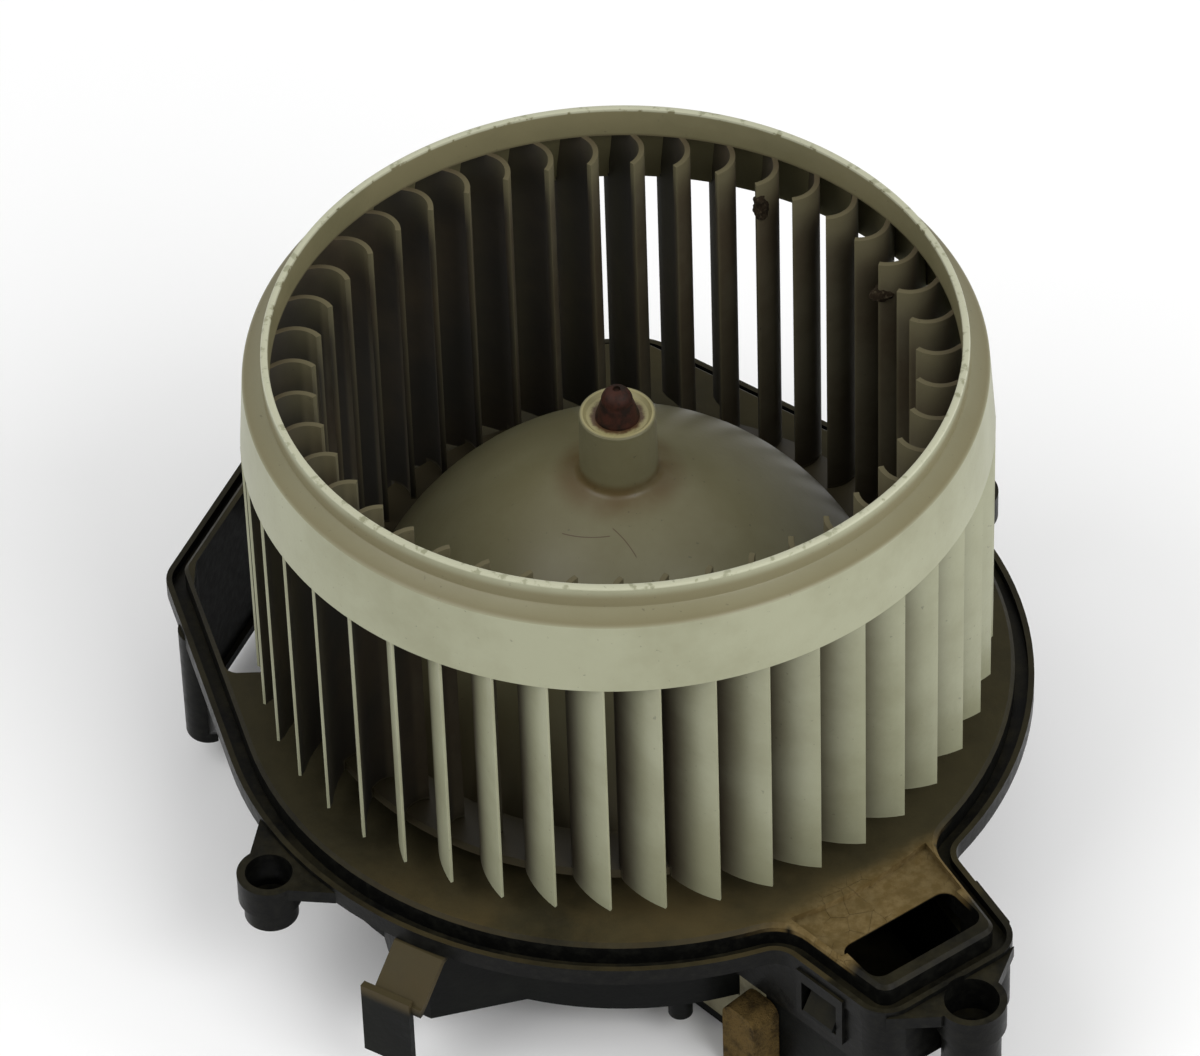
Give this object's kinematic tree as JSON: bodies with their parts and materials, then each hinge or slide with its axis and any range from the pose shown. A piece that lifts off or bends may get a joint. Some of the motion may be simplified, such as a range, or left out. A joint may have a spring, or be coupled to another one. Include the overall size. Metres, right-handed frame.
{
  "type": "car cabin blower motor",
  "caption": "Car cabin blower: a forward-curved cage wheel on a DC motor, set in a round base plate with a regulator well, a cooling-air inlet and screw bosses.",
  "frame": {"origin": "on the motor axis, in the plane of the base plate's outer sealing rim", "axes": "+Z along the motor axis towards the wheel's air inlet, -Y the side with the side arm, -X the side with the regulator well"},
  "size_m": [0.1782, 0.1998, 0.1316],
  "materials": {
    "wheel_plastic": "satin, dusty",
    "cap_plastic": "satin",
    "plate_plastic": "satin, dusty",
    "cover_plastic": "satin, dusty",
    "shaft_steel": "ground",
    "can_steel": "zinc plated",
    "core_steel": "lacquered stack",
    "copper_wire": "enamelled",
    "bar_copper": "turned",
    "bearing_bronze": "sintered",
    "ferrite": "matte",
    "inner_plastic": "matte",
    "carbon": "matte",
    "spring_steel": "bright",
    "washer_steel": "bright",
    "damper_rubber": "matte",
    "screw_steel": "zinc plated",
    "tinned_brass": "tinned",
    "foam": "matte, soiled",
    "label_paper": "matte"
  },
  "bodies": {
    "housing": {"base_plate": "plate_plastic", "lower_cover": "cover_plastic", "motor_can": "can_steel", "motor_end_cap": "inner_plastic", "magnet_left": "ferrite", "magnet_right": "ferrite", "brush_card": "inner_plastic", "brush_left": "carbon", "brush_right": "carbon", "spring_left": "spring_steel", "spring_right": "spring_steel", "choke_back": "copper_wire", "choke_front": "copper_wire", "upper_bearing": "bearing_bronze", "lower_bearing": "bearing_bronze", "bearing_clips": "spring_steel", "upper_damper": "damper_rubber", "lower_damper": "damper_rubber", "foam_pad": "foam", "blank_label": "label_paper", "cover_screws": "screw_steel", "terminal_blades": "tinned_brass"},
    "rotor": {"impeller": "wheel_plastic", "shaft_cap": "cap_plastic", "motor_shaft": "shaft_steel", "armature_core": "core_steel", "armature_windings": "copper_wire", "commutator": "bar_copper", "thrust_washers": "washer_steel"}
  },
  "joints": [
    {"name": "wheel_spin", "type": "hinge", "parent": "housing", "child": "rotor", "pos_m": [0, 0, 0], "axis": [0, 0, 1], "continuous": true}
  ]
}
